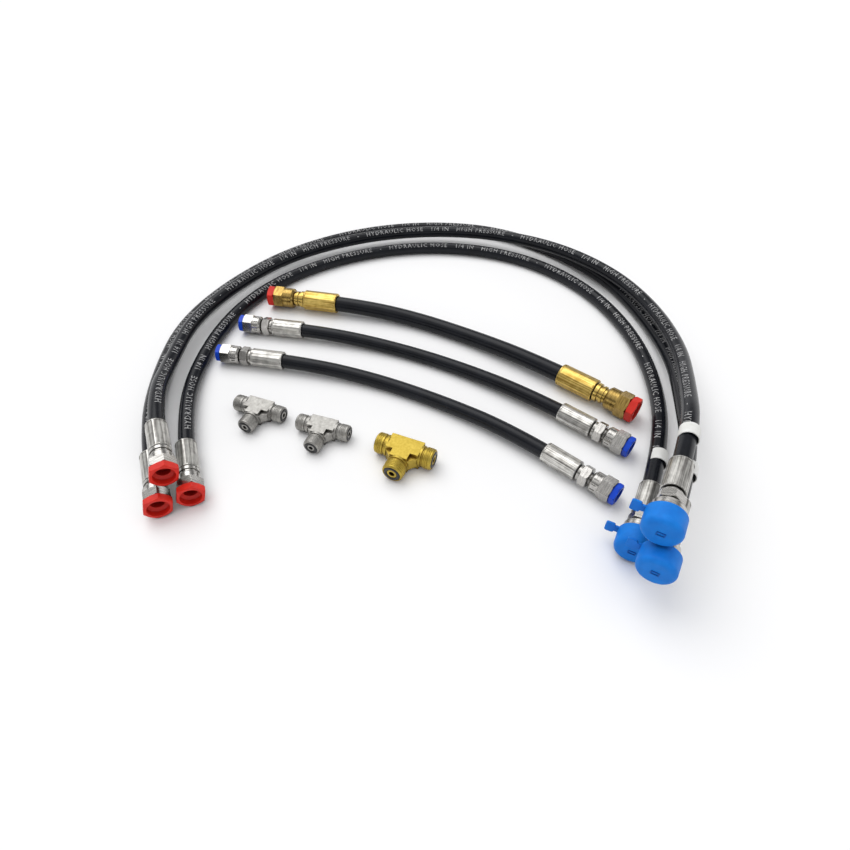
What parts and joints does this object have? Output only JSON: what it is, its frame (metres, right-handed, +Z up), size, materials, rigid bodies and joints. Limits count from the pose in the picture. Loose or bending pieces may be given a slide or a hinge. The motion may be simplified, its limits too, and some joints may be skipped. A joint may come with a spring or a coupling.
{
  "type": "hydraulic hose kit",
  "caption": "Long and short rubber hydraulic hoses with crimped ferrules, swivel hex nuts and protective plugs and caps, laid out with T-shaped flat-face adapters.",
  "frame": {"origin": "on the bench, under the middle of the outline of the fittings", "axes": "+Z up, +X to the right across the open side of the arch, +Y from the open side to the crown of the arch"},
  "size_m": [0.4978, 0.5247, 0.0747],
  "materials": {
    "hose_rubber": "satin extruded cover with a light printed lay line",
    "plated_steel": "bright zinc plated, turned and crimped",
    "brass": "yellow plated, turned, slightly dull",
    "red_plastic": "moulded polyethylene",
    "blue_plug_plastic": "moulded polyethylene",
    "blue_cap_plastic": "soft moulded polyethylene",
    "white_sleeve": "shrunk sleeve",
    "seal_rubber": "smooth nitrile"
  },
  "bodies": {
    "inner_long": {"inner_long_hose": "hose_rubber", "inner_long_ferrules": "plated_steel", "inner_long_stem_left": "plated_steel", "inner_long_stem_right": "plated_steel", "inner_long_band": "white_sleeve"},
    "inner_long_nut_left": {"inner_long_nut_left": "plated_steel"},
    "inner_long_plug_left": {"inner_long_plug_left": "red_plastic"},
    "inner_long_nut_right": {"inner_long_nut_right": "plated_steel"},
    "inner_long_cap": {"inner_long_cap": "blue_cap_plastic"},
    "lower_long": {"lower_long_hose": "hose_rubber", "lower_long_ferrules": "plated_steel", "lower_long_stem_left": "plated_steel", "lower_long_stem_right": "plated_steel", "lower_long_band": "white_sleeve"},
    "lower_long_nut_left": {"lower_long_nut_left": "plated_steel"},
    "lower_long_plug_left": {"lower_long_plug_left": "red_plastic"},
    "lower_long_nut_right": {"lower_long_nut_right": "plated_steel"},
    "lower_long_cap": {"lower_long_cap": "blue_cap_plastic"},
    "upper_long": {"upper_long_hose": "hose_rubber", "upper_long_ferrules": "plated_steel", "upper_long_stem_left": "plated_steel", "upper_long_stem_right": "plated_steel", "upper_long_band": "white_sleeve"},
    "upper_long_nut_left": {"upper_long_nut_left": "plated_steel"},
    "upper_long_plug_left": {"upper_long_plug_left": "red_plastic"},
    "upper_long_nut_right": {"upper_long_nut_right": "plated_steel"},
    "upper_long_cap": {"upper_long_cap": "blue_cap_plastic"},
    "brass_short": {"brass_short_hose": "hose_rubber", "brass_short_ferrules": "brass", "brass_short_stem_left": "brass", "brass_short_stem_right": "brass"},
    "brass_short_nut_left": {"brass_short_nut_left": "brass"},
    "brass_short_plug_left": {"brass_short_plug_left": "red_plastic"},
    "brass_short_nut_right": {"brass_short_nut_right": "brass"},
    "brass_short_plug_right": {"brass_short_plug_right": "red_plastic"},
    "rear_short": {"rear_short_hose": "hose_rubber", "rear_short_ferrules": "plated_steel", "rear_short_stem_left": "plated_steel", "rear_short_stem_right": "plated_steel"},
    "rear_short_nut_left": {"rear_short_nut_left": "plated_steel"},
    "rear_short_plug_left": {"rear_short_plug_left": "blue_plug_plastic"},
    "rear_short_nut_right": {"rear_short_nut_right": "plated_steel"},
    "rear_short_plug_right": {"rear_short_plug_right": "blue_plug_plastic"},
    "front_short": {"front_short_hose": "hose_rubber", "front_short_ferrules": "plated_steel", "front_short_stem_left": "plated_steel", "front_short_stem_right": "plated_steel"},
    "front_short_nut_left": {"front_short_nut_left": "plated_steel"},
    "front_short_plug_left": {"front_short_plug_left": "blue_plug_plastic"},
    "front_short_nut_right": {"front_short_nut_right": "plated_steel"},
    "front_short_plug_right": {"front_short_plug_right": "blue_plug_plastic"},
    "left_tee": {"left_tee_body": "plated_steel", "left_tee_seals": "seal_rubber"},
    "middle_tee": {"middle_tee_body": "plated_steel", "middle_tee_seals": "seal_rubber"},
    "brass_tee": {"brass_tee_body": "brass", "brass_tee_seals": "seal_rubber"}
  },
  "joints": [
    {"name": "inner_long_nut_left_spin", "type": "hinge", "parent": "inner_long", "child": "inner_long_nut_left", "pos_m": [-0.16814, -0.08676, 0.01163], "axis": [0.3416, -0.9398, 0], "continuous": true},
    {"name": "inner_long_plug_left_pull", "type": "slide", "parent": "inner_long_nut_left", "child": "inner_long_plug_left", "axis": [0.3416, -0.9398, 0], "range_m": [0, 0.0069]},
    {"name": "inner_long_nut_right_spin", "type": "hinge", "parent": "inner_long", "child": "inner_long_nut_right", "pos_m": [0.16216, -0.13621, 0.01329], "axis": [-0.4532, -0.8914, 0], "continuous": true},
    {"name": "inner_long_cap_pull", "type": "slide", "parent": "inner_long", "child": "inner_long_cap", "axis": [-0.4532, -0.8914, 0], "range_m": [0, 0.0136]},
    {"name": "lower_long_lift", "type": "slide", "parent": "inner_long", "child": "lower_long", "axis": [0, 0, 1], "range_m": [0, 0.1]},
    {"name": "lower_long_nut_left_spin", "type": "hinge", "parent": "lower_long", "child": "lower_long_nut_left", "pos_m": [-0.19021, -0.09764, 0.01163], "axis": [0.4068, -0.9135, 0], "continuous": true},
    {"name": "lower_long_plug_left_pull", "type": "slide", "parent": "lower_long_nut_left", "child": "lower_long_plug_left", "axis": [0.4068, -0.9135, 0], "range_m": [0, 0.0069]},
    {"name": "lower_long_nut_right_spin", "type": "hinge", "parent": "lower_long", "child": "lower_long_nut_right", "pos_m": [0.16452, -0.16467, 0.03511], "axis": [-0.5001, -0.866, 0], "continuous": true},
    {"name": "lower_long_cap_pull", "type": "slide", "parent": "lower_long", "child": "lower_long_cap", "axis": [-0.5001, -0.866, 0], "range_m": [0, 0.0136]},
    {"name": "upper_long_lift", "type": "slide", "parent": "lower_long", "child": "upper_long", "axis": [0, 0, 1], "range_m": [0, 0.1]},
    {"name": "upper_long_nut_left_spin", "type": "hinge", "parent": "upper_long", "child": "upper_long_nut_left", "pos_m": [-0.18361, -0.08334, 0.03204], "axis": [0.4068, -0.9135, 0], "continuous": true},
    {"name": "upper_long_plug_left_pull", "type": "slide", "parent": "upper_long_nut_left", "child": "upper_long_plug_left", "axis": [0.4068, -0.9135, 0], "range_m": [0, 0.0069]},
    {"name": "upper_long_nut_right_spin", "type": "hinge", "parent": "upper_long", "child": "upper_long_nut_right", "pos_m": [0.16337, -0.153, 0.06153], "axis": [-0.4765, -0.8792, 0], "continuous": true},
    {"name": "upper_long_cap_pull", "type": "slide", "parent": "upper_long", "child": "upper_long_cap", "axis": [-0.4765, -0.8792, 0], "range_m": [0, 0.0136]},
    {"name": "brass_short_lift", "type": "slide", "parent": "inner_long", "child": "brass_short", "axis": [0, 0, 1], "range_m": [0, 0.1]},
    {"name": "brass_short_nut_left_spin", "type": "hinge", "parent": "brass_short", "child": "brass_short_nut_left", "pos_m": [-0.13709, 0.16802, 0.01197], "axis": [-0.9798, 0.2, 0], "continuous": true},
    {"name": "brass_short_plug_left_pull", "type": "slide", "parent": "brass_short_nut_left", "child": "brass_short_plug_left", "axis": [-0.9798, 0.2, 0], "range_m": [0, 0.0069]},
    {"name": "brass_short_nut_right_spin", "type": "hinge", "parent": "brass_short", "child": "brass_short_nut_right", "pos_m": [0.18311, 0.00413, 0.01197], "axis": [0.7615, -0.6482, 0], "continuous": true},
    {"name": "brass_short_plug_right_pull", "type": "slide", "parent": "brass_short_nut_right", "child": "brass_short_plug_right", "axis": [0.7615, -0.6482, 0], "range_m": [0, 0.0069]},
    {"name": "rear_short_lift", "type": "slide", "parent": "inner_long", "child": "rear_short", "axis": [0, 0, 1], "range_m": [0, 0.1]},
    {"name": "rear_short_nut_left_spin", "type": "hinge", "parent": "rear_short", "child": "rear_short_nut_left", "pos_m": [-0.16231, 0.12132, 0.01018], "axis": [-0.9839, 0.1785, 0], "continuous": true},
    {"name": "rear_short_plug_left_pull", "type": "slide", "parent": "rear_short_nut_left", "child": "rear_short_plug_left", "axis": [-0.9839, 0.1785, 0], "range_m": [0, 0.0069]},
    {"name": "rear_short_nut_right_spin", "type": "hinge", "parent": "rear_short", "child": "rear_short_nut_right", "pos_m": [0.17145, -0.03966, 0.01018], "axis": [0.7623, -0.6472, 0], "continuous": true},
    {"name": "rear_short_plug_right_pull", "type": "slide", "parent": "rear_short_nut_right", "child": "rear_short_plug_right", "axis": [0.7623, -0.6472, 0], "range_m": [0, 0.0069]},
    {"name": "front_short_lift", "type": "slide", "parent": "inner_long", "child": "front_short", "axis": [0, 0, 1], "range_m": [0, 0.1]},
    {"name": "front_short_nut_left_spin", "type": "hinge", "parent": "front_short", "child": "front_short_nut_left", "pos_m": [-0.17348, 0.073, 0.01018], "axis": [-0.9825, 0.1861, 0], "continuous": true},
    {"name": "front_short_plug_left_pull", "type": "slide", "parent": "front_short_nut_left", "child": "front_short_plug_left", "axis": [-0.9825, 0.1861, 0], "range_m": [0, 0.0069]},
    {"name": "front_short_nut_right_spin", "type": "hinge", "parent": "front_short", "child": "front_short_nut_right", "pos_m": [0.1499, -0.08749, 0.01018], "axis": [0.7396, -0.673, 0], "continuous": true},
    {"name": "front_short_plug_right_pull", "type": "slide", "parent": "front_short_nut_right", "child": "front_short_plug_right", "axis": [0.7396, -0.673, 0], "range_m": [0, 0.0069]},
    {"name": "left_tee_lift", "type": "slide", "parent": "inner_long", "child": "left_tee", "axis": [0, 0, 1], "range_m": [0, 0.1]},
    {"name": "middle_tee_lift", "type": "slide", "parent": "inner_long", "child": "middle_tee", "axis": [0, 0, 1], "range_m": [0, 0.1]},
    {"name": "brass_tee_lift", "type": "slide", "parent": "inner_long", "child": "brass_tee", "axis": [0, 0, 1], "range_m": [0, 0.1]}
  ]
}
